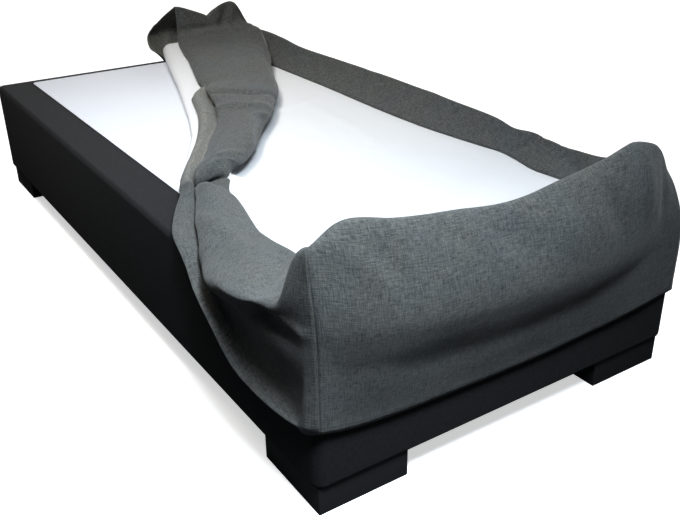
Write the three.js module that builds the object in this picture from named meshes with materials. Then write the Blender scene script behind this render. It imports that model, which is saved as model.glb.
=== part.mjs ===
// A fitted cover half drawn over a single box spring: white top panel, four wide grey side panels.
// Millimetres. While building, x runs from the left long side to the right, y from the foot to the
// head, and z up from the floor. The group is then moved so that its base centre is the origin.
import * as THREE from "three";

const bed = {
  width: 900,
  length: 2000,
  top: 340,
  footHeight: 60,
  cornerRadius: 22,
  edgeRadius: 12,
};
const block = { side: 193, inset: 9, cornerRadius: 4, edgeRadius: 2, seat: 0.3 };
const platform = { sideBorder: 107, endBorder: 42, thickness: 1.5, cornerRadius: 14, seat: 0.3 };
const cloth = { thickness: 2, seamGap: 0.9, crestGap: 2.5, rest: 0.4 };
const lyingZ = bed.top + cloth.rest + cloth.thickness / 2; // mid-plane of cloth lying on the bed

const finish = {
  grey: { color: 0x5d6466, roughness: 0.92, metalness: 0 },
  white: { color: 0xf1f3f6, roughness: 0.85, metalness: 0 },
  platformWhite: { color: 0xe9ebf2, roughness: 0.85, metalness: 0 },
  black: { color: 0x17171a, roughness: 0.9, metalness: 0 },
  block: { color: 0x111113, roughness: 0.6, metalness: 0 },
};

// ---------------------------------------------------------------- shared shapes

// Straight run, turned by `turn` degrees from +y towards +x: places a point `u` to its right.
function placed(x, y, turn, u, z) {
  const a = THREE.MathUtils.degToRad(turn);
  return new THREE.Vector3(x + u * Math.cos(a), y - u * Math.sin(a), z);
}

// Resamples a curve through `points` with steps[k] pieces in its k-th span.
function resample(points, steps) {
  const curve = new THREE.CatmullRomCurve3(points, false, "centripetal");
  const spans = points.length - 1;
  const out = [];
  for (let k = 0; k < spans; k++) {
    for (let s = 0; s < steps[k]; s++) out.push(curve.getPoint((k + s / steps[k]) / spans));
  }
  out.push(points[spans].clone());
  return out;
}

// A smooth surface through rows of points: each row runs across the panel, the rows follow its length.
function loft(rows, acrossSteps, alongSteps) {
  const across = rows.map((row) => resample(row, acrossSteps));
  const columns = across[0].map((_, j) => resample(across.map((row) => row[j]), alongSteps));
  return columns[0].map((_, i) => columns.map((column) => column[i]));
}

function gridNormals(grid) {
  const last = (list) => list.length - 1;
  return grid.map((row, i) =>
    row.map((_, j) => {
      const before = grid[Math.max(i - 1, 0)][j];
      const after = grid[Math.min(i + 1, last(grid))][j];
      const left = row[Math.max(j - 1, 0)];
      const right = row[Math.min(j + 1, last(row))];
      const along = new THREE.Vector3().subVectors(after, before);
      const across = new THREE.Vector3().subVectors(right, left);
      return across.cross(along).normalize();
    }),
  );
}

function closedGeometry(points, triangles) {
  const positions = new Float32Array(points.flatMap((p) => [p.x, p.y, p.z]));
  let volume = 0;
  for (const [a, b, c] of triangles) {
    volume += points[a].dot(new THREE.Vector3().crossVectors(points[b], points[c]));
  }
  const index = triangles.flatMap(([a, b, c]) => (volume > 0 ? [a, b, c] : [a, c, b]));
  const geometry = new THREE.BufferGeometry();
  geometry.setAttribute("position", new THREE.BufferAttribute(positions, 3));
  geometry.setIndex(index);
  geometry.computeVertexNormals();
  return geometry;
}

// Thickens a grid of points into one closed sheet.
function sheet(grid) {
  const rows = grid.length;
  const columns = grid[0].length;
  const normals = gridNormals(grid);
  const points = [];
  for (const side of [1, -1]) {
    grid.forEach((row, i) =>
      row.forEach((p, j) =>
        points.push(p.clone().addScaledVector(normals[i][j], (side * cloth.thickness) / 2)),
      ),
    );
  }
  const at = (side, i, j) => side * rows * columns + i * columns + j;
  const triangles = [];
  const quad = (a, b, c, d) => triangles.push([a, b, c], [a, c, d]);
  for (let i = 0; i < rows - 1; i++) {
    for (let j = 0; j < columns - 1; j++) {
      quad(at(0, i, j), at(0, i, j + 1), at(0, i + 1, j + 1), at(0, i + 1, j));
      quad(at(1, i, j), at(1, i + 1, j), at(1, i + 1, j + 1), at(1, i, j + 1));
    }
  }
  for (let i = 0; i < rows - 1; i++) {
    quad(at(0, i, 0), at(0, i + 1, 0), at(1, i + 1, 0), at(1, i, 0));
    quad(at(0, i + 1, columns - 1), at(0, i, columns - 1), at(1, i, columns - 1), at(1, i + 1, columns - 1));
  }
  for (let j = 0; j < columns - 1; j++) {
    quad(at(0, 0, j + 1), at(0, 0, j), at(1, 0, j), at(1, 0, j + 1));
    quad(at(0, rows - 1, j), at(0, rows - 1, j + 1), at(1, rows - 1, j + 1), at(1, rows - 1, j));
  }
  return closedGeometry(points, triangles);
}

// A block with rounded plan corners and softly rounded top and bottom edges.
function softBlock({ x, y, z, width, length, height, corner, edge, cornerSteps = 5, edgeSteps = 3 }) {
  const rings = [];
  const levels = [];
  for (let s = 0; s <= edgeSteps; s++) {
    const a = (s / edgeSteps) * (Math.PI / 2);
    levels.push([edge * (1 - Math.sin(a)), edge * (1 - Math.cos(a))]);
  }
  const profile = [
    ...levels.map(([inset, rise]) => [inset, z + rise]),
    ...levels.reverse().map(([inset, rise]) => [inset, z + height - rise]),
  ];
  for (const [inset, level] of profile) {
    const ring = [];
    const r = Math.max(corner - inset, 1);
    const centres = [
      [x + width - corner, y + length - corner, 0],
      [x + corner, y + length - corner, 1],
      [x + corner, y + corner, 2],
      [x + width - corner, y + corner, 3],
    ];
    for (const [cx, cy, quarter] of centres) {
      for (let s = 0; s <= cornerSteps; s++) {
        const a = (quarter + s / cornerSteps) * (Math.PI / 2);
        ring.push(new THREE.Vector3(cx + r * Math.cos(a), cy + r * Math.sin(a), level));
      }
    }
    rings.push(ring);
  }
  const count = rings[0].length;
  const points = rings.flat();
  const triangles = [];
  for (let k = 0; k < rings.length - 1; k++) {
    for (let s = 0; s < count; s++) {
      const t = (s + 1) % count;
      const low = k * count;
      const high = low + count;
      triangles.push([low + s, low + t, high + t], [low + s, high + t, high + s]);
    }
  }
  for (let s = 1; s < count - 1; s++) {
    const top = (rings.length - 1) * count;
    triangles.push([0, s + 1, s], [top, top + s, top + s + 1]);
  }
  return closedGeometry(points, triangles);
}

const part = new THREE.Group();

function addPiece(name, geometry, look) {
  const mesh = new THREE.Mesh(geometry, new THREE.MeshStandardMaterial(look));
  mesh.name = name;
  part.add(mesh);
}

// ---------------------------------------------------------------- bed base

function buildBase() {
  addPiece(
    "base_body",
    softBlock({
      x: 0,
      y: 0,
      z: bed.footHeight,
      width: bed.width,
      length: bed.length,
      height: bed.top - platform.thickness - platform.seat - bed.footHeight,
      corner: bed.cornerRadius,
      edge: bed.edgeRadius,
    }),
    finish.black,
  );
  addPiece(
    "base_top",
    softBlock({
      x: platform.sideBorder,
      y: platform.endBorder,
      z: bed.top - platform.thickness,
      width: bed.width - 2 * platform.sideBorder,
      length: bed.length - 2 * platform.endBorder,
      height: platform.thickness,
      corner: platform.cornerRadius,
      edge: platform.thickness / 3,
      edgeSteps: 1,
    }),
    finish.platformWhite,
  );
  const nearest = block.inset;
  const right = bed.width - block.inset - block.side;
  const back = bed.length - block.inset - block.side;
  const corners = {
    foot_front_left: [nearest, nearest],
    foot_front_right: [right, nearest],
    foot_back_left: [nearest, back],
    foot_back_right: [right, back],
  };
  for (const [name, [x, y]] of Object.entries(corners)) {
    const shape = softBlock({
      x,
      y,
      z: 0,
      width: block.side,
      length: block.side,
      height: bed.footHeight - block.seat,
      corner: block.cornerRadius,
      edge: block.edgeRadius,
      cornerSteps: 2,
      edgeSteps: 1,
    });
    addPiece(name, shape, finish.block);
  }
}

// ---------------------------------------------------------------- corner seams

// The seam where the foot and left panels join: hem first, over the ridge, to the white panel.
const nearLeftSeam = [
  [3, -11, 193],
  [3, -12, 255],
  [2, -13, 310],
  [1, -15, 355],
  [-2, -17, 395],
  [-6, -14, 466],
  [-4, -2, 524],
  [20, 18, 514],
];

// Where the left panel has turned the corner, on its way to its first straight section.
const nearLeftTurn = [
  [-13, 6, 190],
  [-10, 6, 250],
  [-9, 6, 305],
  [-12, 6, 350],
  [-11, 6, 392],
  [-14, 6, 462],
  [-3, 12, 520],
  [26, 26, 506],
];

// The seam where the foot and right panels join: it leans in over the bed towards its top.
const nearRightSeam = [
  [898, -3, 180],
  [897, -4, 235],
  [895, -5, 290],
  [887, -6, 342],
  [866, -6, 392],
  [842, 4, 446],
  [812, 22, 487],
  [818, 40, 466],
];

// Where the right panel has turned the corner, on its way to its first straight section.
const nearRightTurn = [
  [906, 12, 179],
  [907, 12, 235],
  [908, 12, 290],
  [906, 12, 342],
  [884, 14, 392],
  [858, 24, 446],
  [836, 40, 482],
  [822, 54, 452],
];

// ---------------------------------------------------------------- grey panels

function named(columns, row) {
  return Object.fromEntries(columns.map((name, k) => [name, row[k]]));
}

const asPoints = (list) => list.map(([x, y, z]) => new THREE.Vector3(x, y, z));

// Foot panel: a row for each section across the foot end, each `Out` measured from the bed's end face.
const footColumns = ["x", "hemZ", "tuckOut", "bellyOut", "bellyZ", "shoulderOut", "ridgeOut", "ridgeZ"];
const footSections = [
  [60, 178, 11, 38, 376, 25, 1, 552],
  [160, 168, 12, 52, 362, 34, 2, 534],
  [290, 163, 12, 60, 350, 40, 3, 514],
  [430, 160, 12, 63, 342, 43, 4, 503],
  [520, 160, 12, 62, 340, 47, 6, 516],
  [620, 164, 12, 57, 341, 51, 12, 534],
  [700, 167, 12, 47, 350, 43, 11, 549],
  [765, 171, 11, 33, 364, 30, 6, 532],
  [800, 174, 11, 23, 374, 19, -4, 506],
];
const footShape = { hemOut: 9, ridgeDepth: 24, ridgeDrop: 26 };

function footRow(row) {
  const s = named(footColumns, row);
  const rise = s.bellyZ - s.hemZ;
  const swell = s.bellyOut - s.tuckOut;
  return [
    [s.x, -footShape.hemOut, s.hemZ],
    [s.x, -(s.tuckOut + 0.22 * swell), s.hemZ + 0.34 * rise],
    [s.x, -(s.tuckOut + 0.55 * swell), s.hemZ + 0.64 * rise],
    [s.x, -(s.tuckOut + 0.85 * swell), s.hemZ + 0.86 * rise],
    [s.x, -s.bellyOut, s.bellyZ + 12],
    [s.x, -s.shoulderOut, s.bellyZ + 0.62 * (s.ridgeZ - s.bellyZ)],
    [s.x, -s.ridgeOut + 2, s.ridgeZ],
    [s.x, footShape.ridgeDepth - s.ridgeOut, s.ridgeZ - footShape.ridgeDrop],
  ];
}

// Left panel: a row for each section from the near corner, up the side, through the pinch and along
// the band that crosses the bed. Each section has eight [u, z] places: the hem, the lip above it, the
// long crease, the edge beyond the crease, then over the crown to the nose and the white panel's seam.
const bandTurn = 27.1;
const bandAngle = THREE.MathUtils.degToRad(bandTurn);
const band = (v) => [v * Math.sin(bandAngle), v * Math.cos(bandAngle), bandTurn];
const leftSections = [
  { run: [0, 34, 0], hem: [-16, 190], lip: [-10, 200], crease: [-5, 222], edge: [-16, 345],
    trough: [-13, 376], crown: [-23, 436], nose: [-2, 502], seam: [35, 494] },
  { run: [0, 62, 0], hem: [-20, 188], lip: [-12, 198], crease: [-4, 220], edge: [-18, 340],
    trough: [-14, 379], crown: [-28, 408], nose: [14, 428], seam: [60, 440] },
  { run: [0, 102, 0], hem: [-24, 187], lip: [-14, 197], crease: [-4, 218], edge: [-21, 338],
    trough: [-10, 379], crown: [-32, 398], nose: [28, 398], seam: [94, 398] },
  { run: [0, 165, 0], hem: [-28, 190], lip: [-17, 199], crease: [-4, 220], edge: [-18, 325],
    trough: [-22, 353], crown: [-39, 380], nose: [34, 387], seam: [122, 374] },
  { run: [0, 235, 0], hem: [-31, 202], lip: [-20, 208], crease: [-4, 228], edge: [-10, 312],
    trough: [-31, 346], crown: [-38, 368], nose: [42, 379], seam: [136, 367] },
  { run: [0, 310, 0], hem: [-37, 262], lip: [-28, 264], crease: [-5, 268], edge: [-7, 308],
    trough: [-34, 342], crown: [-21, 362], nose: [50, 372], seam: [145, 358] },
  { run: [0, 372, 0], hem: [-35, 301], lip: [-26, 303], crease: [-8, 304], edge: [-9, 326],
    trough: [-12, 347], crown: [10, 362], nose: [62, 372], seam: [142, 354] },
  { run: [0, 400, 0], hem: [-29, 323], lip: [-17, 334], crease: [-7, 332], edge: [4, 352],
    trough: [17, 361], crown: [37, 369], nose: [74, 371], seam: [141, 354] },
  { run: [0, 430, 0], hem: [-28, 344], lip: [-8, 356], crease: [12, 347], edge: [22, 362],
    trough: [36, 370], crown: [56, 375], nose: [88, 372], seam: [141, 354] },
  { run: [0, 492, 0], hem: [-18, 364], lip: [4, 373], crease: [36, 348], edge: [44, 366],
    trough: [57, 376], crown: [78, 381], nose: [108, 376], seam: [155, 354] },
  { run: [0, 560, 0], hem: [12, 362], lip: [30, 377], crease: [62, 348], edge: [70, 368],
    trough: [82, 380], crown: [102, 385], nose: [130, 378], seam: [172, 355] },
  { run: [0, 620, 0], hem: [44, 362], lip: [59, 379], crease: [91, 349], edge: [99, 370],
    trough: [110, 383], crown: [127, 388], nose: [150, 379], seam: [183, 357] },
  { run: [0, 668, 0], hem: [72, 363], lip: [86, 381], crease: [112, 350], edge: [119, 371],
    trough: [129, 384], crown: [143, 388], nose: [159, 379], seam: [176, 359] },
  { run: [0, 702, 0], hem: [94, 365], lip: [104, 382], crease: [121, 352], edge: [127, 364],
    trough: [135, 370], crown: [145, 371], nose: [153, 365], seam: [161, 356] },
  { run: band(738), hem: [-243, 366], lip: [-232, 381], crease: [-217, 370], edge: [-204, 388],
    trough: [-165, 402], crown: [-122, 393], nose: [-107, 374], seam: [-130, 360] },
  { run: band(800), hem: [-236, 366], lip: [-222, 383], crease: [-201, 369], edge: [-186, 390],
    trough: [-141, 403], crown: [-99, 394], nose: [-86, 374], seam: [-112, 361] },
  { run: band(900), hem: [-226, 366], lip: [-212, 383], crease: [-190, 369], edge: [-172, 390],
    trough: [-120, 403], crown: [-79, 395], nose: [-66, 375], seam: [-102, 361] },
  { run: band(1000), hem: [-218, 366], lip: [-204, 384], crease: [-184, 369], edge: [-165, 390],
    trough: [-104, 403], crown: [-62, 395], nose: [-49, 375], seam: [-92, 361] },
  { run: band(1100), hem: [-216, 366], lip: [-201, 385], crease: [-175, 368], edge: [-155, 391],
    trough: [-88, 403], crown: [-44, 395], nose: [-31, 375], seam: [-82, 361] },
  { run: band(1190), hem: [-219, 367], lip: [-204, 386], crease: [-170, 368], edge: [-152, 392],
    trough: [-80, 403], crown: [-29, 395], nose: [-17, 375], seam: [-76, 361] },
  { run: band(1262), hem: [-227, 368], lip: [-212, 386], crease: [-175, 369], edge: [-158, 393],
    trough: [-80, 403], crown: [-19, 396], nose: [-7, 376], seam: [-70, 361] },
  { run: band(1330), hem: [-238, 369], lip: [-222, 387], crease: [-190, 371], edge: [-174, 395],
    trough: [-84, 404], crown: [-11, 396], nose: [1, 376], seam: [-66, 361] },
  { run: band(1385), hem: [-246, 371], lip: [-231, 388], crease: [-201, 375], edge: [-186, 397],
    trough: [-88, 404], crown: [-5, 396], nose: [8, 376], seam: [-66, 361] },
  { run: band(1435), hem: [-235, 374], lip: [-224, 388], crease: [-209, 383], edge: [-194, 397],
    trough: [-90, 403], crown: [-2, 395], nose: [11, 376], seam: [-66, 361] },
  { run: band(1470), hem: [-217, 377], lip: [-211, 388], crease: [-200, 392], edge: [-182, 398],
    trough: [-92, 403], crown: [-3, 395], nose: [11, 376], seam: [-67, 361] },
  { run: band(1545), hem: [-234, 380], lip: [-227, 391], crease: [-214, 396], edge: [-190, 400],
    trough: [-98, 404], crown: [-9, 396], nose: [5, 377], seam: [-70, 361] },
  { run: band(1690), hem: [-259, 388], lip: [-251, 398], crease: [-237, 404], edge: [-208, 407],
    trough: [-108, 408], crown: [-16, 401], nose: [1, 383], seam: [-70, 363] },
  { run: band(1800), hem: [-277, 393], lip: [-269, 403], crease: [-254, 409], edge: [-222, 412],
    trough: [-116, 411], crown: [-28, 404], nose: [2, 392], seam: [-66, 368] },
  { run: [890, 1790, 12], hem: [-291, 396], lip: [-283, 406], crease: [-267, 412], edge: [-232, 416],
    trough: [-122, 417], crown: [-44, 424], nose: [-2, 448], seam: [-50, 396] },
  { run: [890, 1905, 12], hem: [-255, 402], lip: [-248, 412], crease: [-232, 421], edge: [-196, 431],
    trough: [-112, 440], crown: [-36, 448], nose: [2, 453], seam: [-34, 412] },
  { run: [655, 1984, 14], hem: [-4, 458], lip: [3, 464], crease: [24, 466], edge: [70, 462],
    trough: [124, 458], crown: [160, 478], nose: [212, 482], seam: [244, 452] },
  { run: [655, 1997, 15], hem: [0, 522], lip: [18, 519], crease: [62, 504], edge: [100, 489],
    trough: [122, 480], crown: [152, 512], nose: [207, 526], seam: [252, 470] },
];
const sectionPlaces = ["hem", "lip", "crease", "edge", "trough", "crown", "nose", "seam"];

function leftRow(section) {
  return sectionPlaces.map((place) => placed(...section.run, ...section[place]));
}

// Right panel: a row for each section along the right long side, `sideOut` from the bed's side face.
const rightColumns = ["y", "hemZ", "sideOut", "sideZ", "ridgeX", "ridgeZ", "seamX", "seamZ"];
const rightSections = [
  [62, 176, 9, 320, 859, 477, 825, 443],
  [102, 172, 9, 328, 877, 455, 830, 420],
  [165, 164, 9, 330, 896, 428, 835, 385],
  [235, 158, 9, 326, 905, 409, 838, 359],
  [310, 153, 9, 322, 906, 405, 838, 354],
  [372, 150, 9, 320, 907, 405, 839, 352],
  [450, 150, 9, 322, 907, 410, 856, 352],
  [510, 150, 9, 322, 906, 405, 864, 352],
  [570, 150, 9, 324, 907, 414, 856, 352],
  [760, 150, 9, 328, 907, 421, 836, 352],
  [1000, 148, 9, 330, 907, 425, 833, 352],
  [1280, 148, 9, 330, 907, 425, 842, 352],
  [1540, 146, 9, 330, 907, 424, 844, 352],
  [1660, 146, 9, 334, 907, 434, 845, 352],
  [1780, 146, 9, 336, 908, 438, 850, 352],
  [1900, 146, 9, 334, 909, 432, 856, 352],
  [1990, 146, 8, 330, 909, 418, 866, 352],
];

function rightRow(row) {
  const s = named(rightColumns, row);
  const side = bed.width + s.sideOut;
  const lean = s.ridgeX - side;
  const inward = s.ridgeX - s.seamX;
  const drop = s.ridgeZ - s.seamZ;
  return [
    [side - 1, s.y, s.hemZ],
    [side, s.y, s.hemZ + 0.45 * (s.sideZ - s.hemZ)],
    [side, s.y, s.sideZ],
    [side + 0.35 * lean, s.y, s.sideZ + 0.62 * (s.ridgeZ - s.sideZ)],
    [s.ridgeX, s.y, s.ridgeZ],
    [s.ridgeX - 0.2 * inward, s.y, s.ridgeZ - 0.3 * drop],
    [s.ridgeX - 0.55 * inward, s.y, s.ridgeZ - 0.68 * drop],
    [s.seamX, s.y, s.seamZ],
  ];
}

// Head panel: from the left panel's crest over the head of the bed and down behind it. A row starts at
// the crest's place of that name: the first is the open rim of the empty corner, the last its far seam.
const headSections = {
  hem: [[616, 2051, 472], [572, 2080, 414], [570, 2059, 371], [590, 2028, 355], [604, 2013, 338]],
  lip: [[650, 2060, 482], [618, 2098, 416], [612, 2078, 356], [622, 2040, 312], [630, 2022, 284]],
  crease: [[710, 2048, 476], [696, 2088, 414], [690, 2068, 340], [690, 2036, 280], [692, 2020, 240]],
  edge: [[752, 2036, 468], [748, 2066, 406], [746, 2050, 326], [746, 2030, 256], [748, 2018, 208]],
  trough: [[778, 2030, 462], [780, 2058, 400], [782, 2044, 318], [784, 2028, 244], [786, 2017, 190]],
  crown: [[812, 2026, 480], [818, 2056, 402], [822, 2042, 314], [824, 2026, 234], [826, 2016, 174]],
  nose: [[868, 2012, 478], [874, 2040, 398], [876, 2032, 308], [876, 2022, 222], [876, 2014, 156]],
  seam: [[912, 1978, 448], [914, 2004, 402], [912, 2006, 318], [911, 2004, 232], [910, 2002, 152]],
};

function headRow(place) {
  const crest = leftSections.at(-1);
  const behind = THREE.MathUtils.degToRad(crest.run[2]);
  const start = placed(...crest.run, ...crest[place]);
  start.x += cloth.crestGap * Math.sin(behind);
  start.y += cloth.crestGap * Math.cos(behind);
  return [start, ...asPoints(headSections[place])];
}

const evenSteps = (rows, steps) => Array(rows.length - 1).fill(steps);

const footRows = [
  asPoints(nearLeftSeam),
  ...footSections.map((row) => asPoints(footRow(row))),
  asPoints(nearRightSeam),
];
const leftRows = [asPoints(nearLeftSeam), asPoints(nearLeftTurn), ...leftSections.map(leftRow)];
const rightRows = [
  asPoints(nearRightSeam),
  asPoints(nearRightTurn),
  ...rightSections.map((row) => asPoints(rightRow(row))),
];
const headRows = sectionPlaces.map(headRow);

const placeSteps = [1, 2, 2, 2, 2, 2, 3]; // pieces between a left section's places, and along the crest
const footGrid = loft(footRows, [1, 1, 2, 2, 2, 2, 2], [1, 2, 2, 2, 2, 2, 2, 1, 1, 2]);
const leftGrid = loft(leftRows, placeSteps, evenSteps(leftRows, 1));
const rightGrid = loft(rightRows, [1, 1, 1, 2, 1, 1, 1], evenSteps(rightRows, 1));
const headGrid = loft(headRows, [3, 3, 2, 2, 1], placeSteps);

// Draws a panel's first or last row back from the seam by the gap that the seam keeps.
function trimEnd(grid, end, next, gap) {
  grid[end].forEach((p, j) => {
    const back = new THREE.Vector3().subVectors(grid[next][j], p).normalize();
    p.addScaledVector(back, gap);
  });
}

trimEnd(footGrid, 0, 1, cloth.seamGap);
trimEnd(leftGrid, 0, 1, cloth.thickness);
trimEnd(footGrid, footGrid.length - 1, footGrid.length - 2, cloth.thickness);
trimEnd(rightGrid, 0, 1, cloth.thickness);

// ---------------------------------------------------------------- white panel

// The white panel hangs from the three seams of the foot end and falls to the bed. Under the band it
// runs on to the left, shows as a tongue beyond the band's hem, and folds back to the band's seam.
const white = {
  footReach: 290, // how far the cloth takes to fall from the foot seam to the bed
  edgeReach: 110, // and from the side seams
  lapDrop: 2.6, // how far its edge lies below the edge that it is sewn to
  steepLapDrop: 4.6,
  lapReach: 4, // how far it reaches under the right seam, from `lapFrom` on
  lapFrom: 300,
  sparePitch: 5, // spacing, before the fold starts, of the columns that the fold is made of
  foldStart: 705,
};
const foldTurns = [90, 30, -30, -90]; // degrees, from the upper layer round to the lower one
const upperShares = [0, 0.35, 0.7, 1]; // places of the upper layer on its way from the seam to the hem

// The tongue: the place of its tip, and the height of its upper layer there.
const tongueColumns = ["y", "tipX", "z"];
const tongueSections = [
  [718, 97, 349],
  [764, 112, 350],
  [860, 168, 353],
  [1075, 286, 357],
  [1227, 346, 360],
  [1343, 384, 364],
  [1425, 412, 368],
  [1500, 437, 373],
  [1600, 467, 378],
  [1700, 497, 383],
  [1850, 543, 390],
  [1985, 588, 397],
].map((row) => named(tongueColumns, row));
const cornerStations = [
  [24, 54],
  [32, 60],
  [62, 74],
];
const headStations = [1460, 1620, 1700, 1780, 1860, 1950, 1985];

const lastOf = (list) => list[list.length - 1];

// Reads `value` where `key` is `at`, on straight pieces through `items`, which rise in `key`.
function readAlong(items, key, at, value) {
  const found = items.findIndex((item, k) => k > 0 && item[key] >= at);
  const after = found < 0 ? items.length - 1 : found;
  const a = items[after - 1];
  const b = items[after];
  const share = Math.min(Math.max((at - a[key]) / (b[key] - a[key]), 0), 1);
  return a[value] + (b[value] - a[value]) * share;
}

// The white panel's edge at the foot end, just past the end of each of the foot panel's rows.
const footRail = footGrid.map((row) => {
  const inward = new THREE.Vector3().subVectors(lastOf(row), row[row.length - 2]).normalize();
  return lastOf(row).clone().addScaledVector(inward, cloth.seamGap);
});
const leftRail = leftGrid.slice(1, -2).map(lastOf);
const rightRail = rightGrid.slice(1).map(lastOf);
const hemRail = leftGrid.filter((row) => lastOf(row).y > white.foldStart - 20).map((row) => row[0]);

// Columns of the white panel: a few close ones that become the fold, then those of the foot seam.
const spareCount = upperShares.length + 1 + foldTurns.length;
const spareWidth = white.sparePitch * (spareCount - 1);
const footCorner = footRail[0];
const openColumns = footRail.filter((p) => p.x > footCorner.x + spareWidth + white.sparePitch);
const openStart = footCorner.x + spareWidth;
const openShares = openColumns.map((p) => (p.x - openStart) / (lastOf(footRail).x - openStart));

function footSeamRow() {
  const spare = Array.from({ length: spareCount }, (_, k) => {
    const x = footCorner.x + k * white.sparePitch;
    const y = readAlong(footRail, "x", x, "y");
    return new THREE.Vector3(x, y, readAlong(footRail, "x", x, "z"));
  });
  const row = [...spare, ...openColumns.map((p) => p.clone())];
  row[0].add(new THREE.Vector3(cloth.thickness, 0, -white.steepLapDrop));
  lastOf(row).add(new THREE.Vector3(-cloth.thickness, cloth.seamGap, -cloth.seamGap));
  return row;
}

const fall = (share) => (share < 1 ? (1 - share) ** 2 : 0);
const ease = (share) => {
  const t = Math.min(Math.max(share, 0), 1);
  return t * t * (3 - 2 * t);
};

// Edge places of a row that runs from `leftY` on the left seam to `rightY` on the right one.
function edgesAt(leftY, rightY) {
  const read = (rail, y) => new THREE.Vector3(readAlong(rail, "y", y, "x"), y, readAlong(rail, "y", y, "z"));
  const left = read(leftRail, leftY);
  const right = read(rightRail, rightY);
  right.x += rightY > white.lapFrom ? white.lapReach : 0;
  left.z -= leftY > white.lapFrom ? white.lapDrop : white.steepLapDrop;
  right.z -= rightY > white.lapFrom ? white.lapDrop : white.steepLapDrop;
  return { left, right };
}

// A row in front of the fold: it hangs from both edges, and falls from its height at the foot seam.
function openRow(leftY, rightY, seamRow) {
  const { left, right } = edgesAt(leftY, rightY);
  const start = left.x + spareWidth;
  const spare = Array.from({ length: spareCount }, (_, k) => left.x + k * white.sparePitch);
  const open = openShares.map((share) => start + share * (right.x - start));
  const lift = (p) => p.z - lyingZ;
  return [...spare, ...open].map((x, k) => {
    const y = leftY + ((x - left.x) / (right.x - left.x)) * (rightY - leftY);
    const nearLeft = 1 - ease((x - left.x) / white.edgeReach);
    const nearRight = 1 - ease((right.x - x) / white.edgeReach);
    const falling = lift(seamRow[k]) * fall((y - seamRow[k].y) / white.footReach);
    const edges = lift(left) * nearLeft + lift(right) * nearRight;
    return new THREE.Vector3(x, y, lyingZ + edges + falling * (1 - nearLeft - nearRight));
  });
}

function foldedRow(y) {
  const { left, right } = edgesAt(y, y);
  const hemX = readAlong(hemRail, "y", y, "x");
  const tip = readAlong(tongueSections, "y", y, "tipX");
  const upperZ = readAlong(tongueSections, "y", y, "z");
  const r = (upperZ - lyingZ) / 2;
  const fold = { x: tip + r, z: lyingZ + r };
  const upper = upperShares.map((share) => [
    left.x + share * (hemX - left.x),
    left.z + share * (upperZ - left.z),
  ]);
  const beyondHem = [(hemX + fold.x) / 2, upperZ];
  const turn = foldTurns.map((degrees) => {
    const a = THREE.MathUtils.degToRad(degrees);
    return [fold.x - r * Math.cos(a), fold.z + r * Math.sin(a)];
  });
  const lower = openShares.map((share) => {
    const x = fold.x + share * (right.x - fold.x);
    return [x, lyingZ + (right.z - lyingZ) * (1 - ease((right.x - x) / white.edgeReach))];
  });
  return [...upper, beyondHem, ...turn, ...lower].map(([x, z]) => new THREE.Vector3(x, y, z));
}

function whiteGrid() {
  const stations = [...leftRail.map((p) => p.y), ...headStations].sort((a, b) => a - b);
  const straight = stations.filter((y) => y > lastOf(cornerStations)[1]);
  const seamRow = footSeamRow();
  return [
    seamRow,
    ...cornerStations.map(([leftY, rightY]) => openRow(leftY, rightY, seamRow)),
    ...straight.map((y) => (y < white.foldStart ? openRow(y, y, seamRow) : foldedRow(y))),
  ];
}

// ---------------------------------------------------------------- assembly

addPiece("cover_top_panel", sheet(whiteGrid()), finish.white);
addPiece("cover_foot_panel", sheet(footGrid), finish.grey);
addPiece("cover_left_panel", sheet(leftGrid), finish.grey);
addPiece("cover_right_panel", sheet(rightGrid), finish.grey);
addPiece("cover_head_panel", sheet(headGrid), finish.grey);
buildBase();

const bounds = new THREE.Box3().setFromObject(part);
part.position.set(-(bounds.min.x + bounds.max.x) / 2, -(bounds.min.y + bounds.max.y) / 2, -bounds.min.z);

export default part;
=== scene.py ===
import math
import bmesh
import bpy
import numpy as np
from mathutils import Matrix, Vector, noise


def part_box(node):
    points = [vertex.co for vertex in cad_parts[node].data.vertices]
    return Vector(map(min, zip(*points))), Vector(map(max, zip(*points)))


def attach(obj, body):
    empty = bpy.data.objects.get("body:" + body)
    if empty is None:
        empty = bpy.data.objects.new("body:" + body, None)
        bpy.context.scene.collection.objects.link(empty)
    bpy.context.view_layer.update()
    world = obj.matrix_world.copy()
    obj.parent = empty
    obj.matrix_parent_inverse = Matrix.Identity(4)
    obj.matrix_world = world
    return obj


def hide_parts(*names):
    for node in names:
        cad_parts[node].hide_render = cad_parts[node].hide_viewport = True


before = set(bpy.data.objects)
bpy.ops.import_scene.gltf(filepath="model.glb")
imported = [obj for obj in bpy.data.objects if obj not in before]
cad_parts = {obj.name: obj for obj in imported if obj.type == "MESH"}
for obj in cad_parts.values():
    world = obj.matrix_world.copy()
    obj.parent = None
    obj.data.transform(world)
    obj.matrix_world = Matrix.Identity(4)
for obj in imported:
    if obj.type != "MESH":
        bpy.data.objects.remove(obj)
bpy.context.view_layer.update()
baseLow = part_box("base_body")[0]
mm = 0.001
cornerOfBed = Vector((baseLow.x, baseLow.y, 0))  # tables below are in mm from here: x right, y to the head


def place(x, y, z):
    return cornerOfBed + Vector((x, y, z)) * mm


# ---- camera

view = {"at": (-569, -967, 1064), "right": (0.836, -0.549, -0.016), "forward": (0.486, 0.753, -0.444),
        "lens": 45.13, "sensor": 36}


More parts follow.
